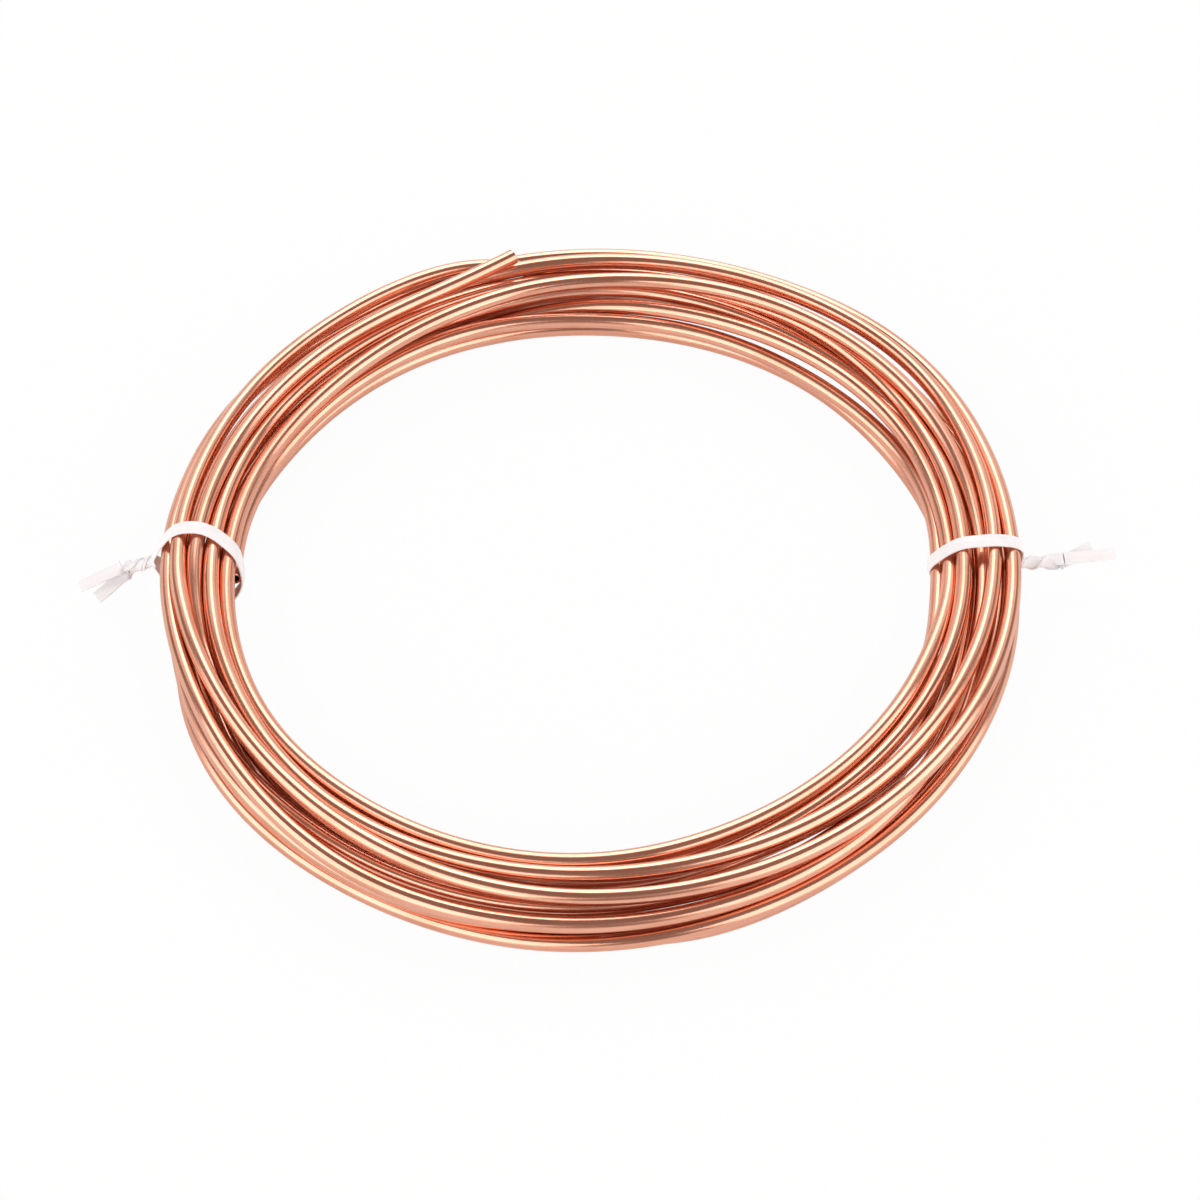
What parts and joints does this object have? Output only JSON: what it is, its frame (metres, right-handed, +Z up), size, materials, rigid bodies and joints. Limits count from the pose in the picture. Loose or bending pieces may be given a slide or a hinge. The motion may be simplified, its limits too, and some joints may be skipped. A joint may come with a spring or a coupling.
{
  "type": "copper tube coil",
  "caption": "Flat ring-shaped coil of thin round copper tube in loose turns, held by plastic-covered twist ties, with a straight free end for a fitting.",
  "frame": {"origin": "on the coil's axis at floor level, which is the middle of the bottom of the whole part's box", "axes": "+Z up along the coil's axis, X through the twist ties with -X at the tie next to the inner end, +Y towards the free end's side"},
  "size_m": [0.1923, 0.1558, 0.0154],
  "materials": {
    "copper": "bright drawn copper",
    "tie_plastic": "smooth white plastic"
  },
  "bodies": {
    "root": {"coil": "copper", "left_tie": "tie_plastic", "right_tie": "tie_plastic"}
  },
  "joints": []
}
